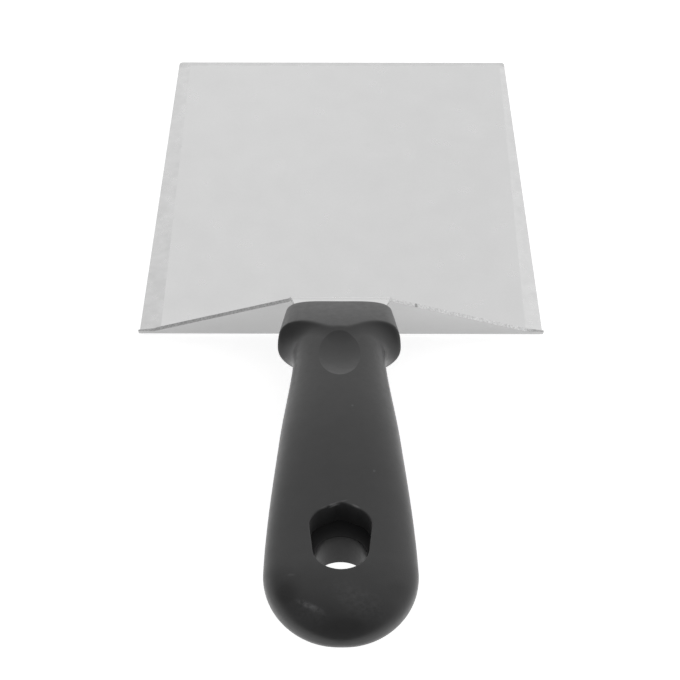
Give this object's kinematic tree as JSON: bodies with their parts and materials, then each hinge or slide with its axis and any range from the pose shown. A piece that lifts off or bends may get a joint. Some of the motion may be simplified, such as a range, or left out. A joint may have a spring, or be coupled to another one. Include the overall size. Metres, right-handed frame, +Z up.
{
  "type": "kitchen spatula",
  "caption": "Square-bladed kitchen spatula: folded stainless sheet blade with a raised back wall, and a black moulded handle with a thumb dimple and a hanging hole.",
  "frame": {"origin": "middle of the blade's flat underside, on the plane it rests on", "axes": "+Z up out of the blade's face, +Y toward the blade's front edge, handle toward -Y and rising, +X to the right seen from the handle"},
  "size_m": [0.11, 0.2397, 0.0432],
  "materials": {
    "stainless_steel": "fine satin, ground along the three free edges",
    "black_polypropylene": "satin moulded black"
  },
  "bodies": {
    "root": {"blade": "stainless_steel", "handle": "black_polypropylene"}
  },
  "joints": []
}
